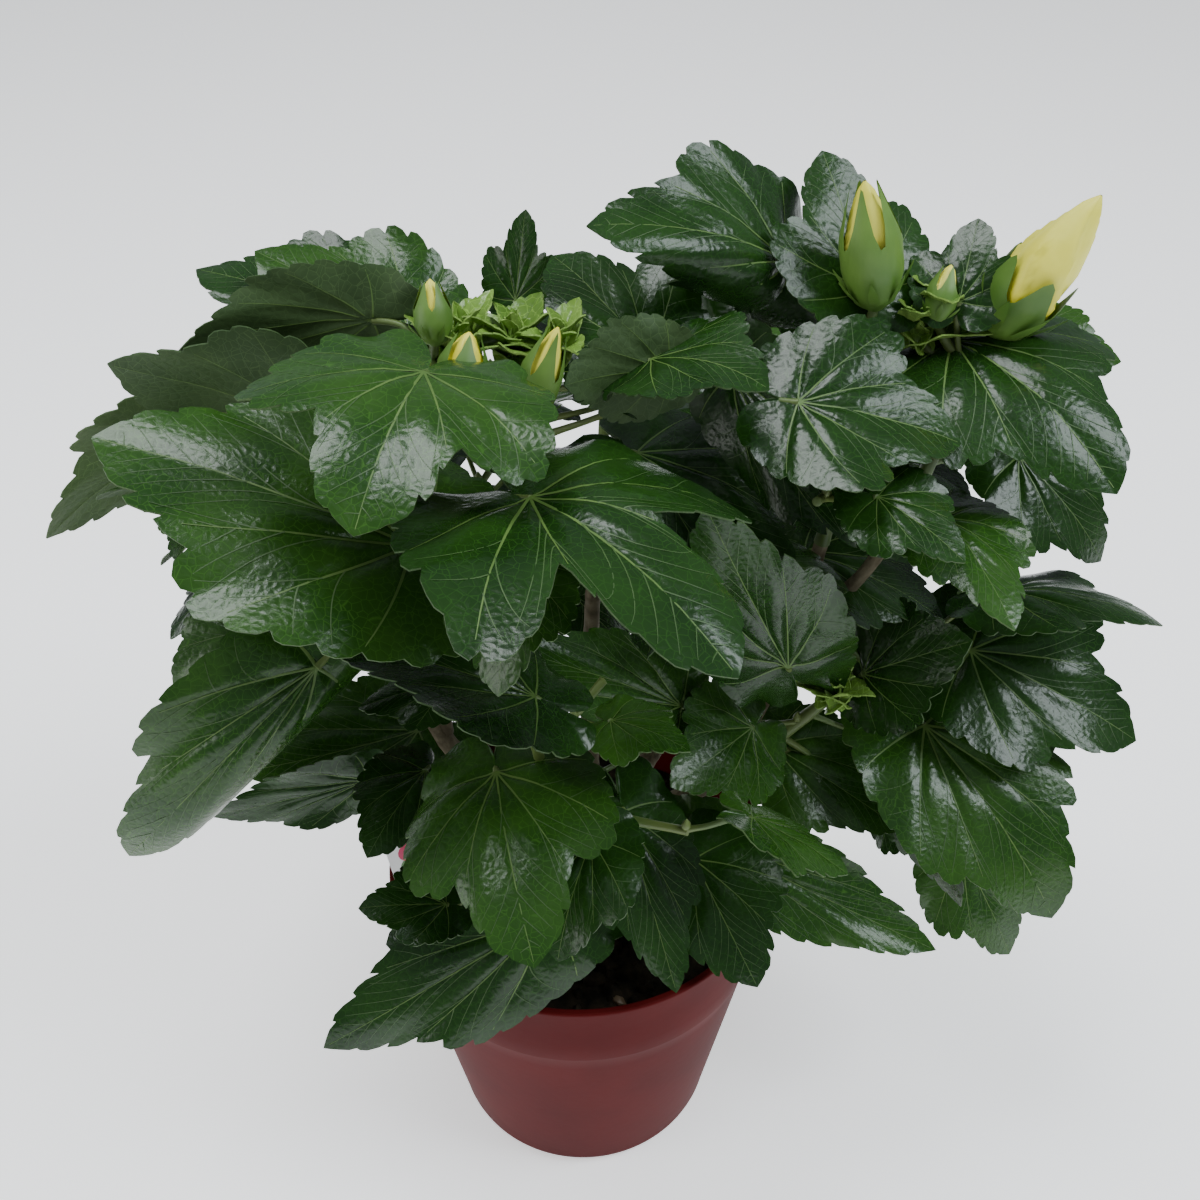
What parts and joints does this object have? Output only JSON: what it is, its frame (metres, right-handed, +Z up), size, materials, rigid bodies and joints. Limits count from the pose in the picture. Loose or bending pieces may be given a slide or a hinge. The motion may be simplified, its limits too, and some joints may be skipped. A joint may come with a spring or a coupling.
{
  "type": "potted hibiscus shrub",
  "caption": "Young hibiscus shrub with glossy toothed leaves and furled buds in a round brick-red nursery pot, with its soil and a stick-in plant label",
  "frame": {"origin": "centre of the pot's flat underside, which rests on the ground at z = 0", "axes": "+Z up along the pot's axis; +X to the shrub's right and +Y to its back, as seen in the picture"},
  "size_m": [0.3234, 0.2243, 0.3415],
  "materials": {
    "pot": "satin",
    "soil": "rough",
    "label": "gloss",
    "bark": "rough",
    "leaf": "gloss"
  },
  "bodies": {
    "root": {"pot": "pot", "soil": "soil", "plant_label": "label", "trunk": "bark", "bough_right": "bark", "bough_right_high": "bark", "bough_right_outer": "bark", "bough_left": "bark", "bough_left_high": "bark", "bough_middle": "bark", "bough_front": "bark", "bough_back_left": "bark", "bough_back": "bark", "bough_back_right": "bark", "foliage_top_left": "leaf", "foliage_left": "leaf", "foliage_left_low": "leaf", "foliage_middle": "leaf", "foliage_front": "leaf", "foliage_front_low": "leaf", "foliage_right_high": "leaf", "foliage_right_top": "leaf", "foliage_right": "leaf", "foliage_back_left": "leaf", "foliage_back": "leaf", "foliage_back_right": "leaf"}
  },
  "joints": []
}
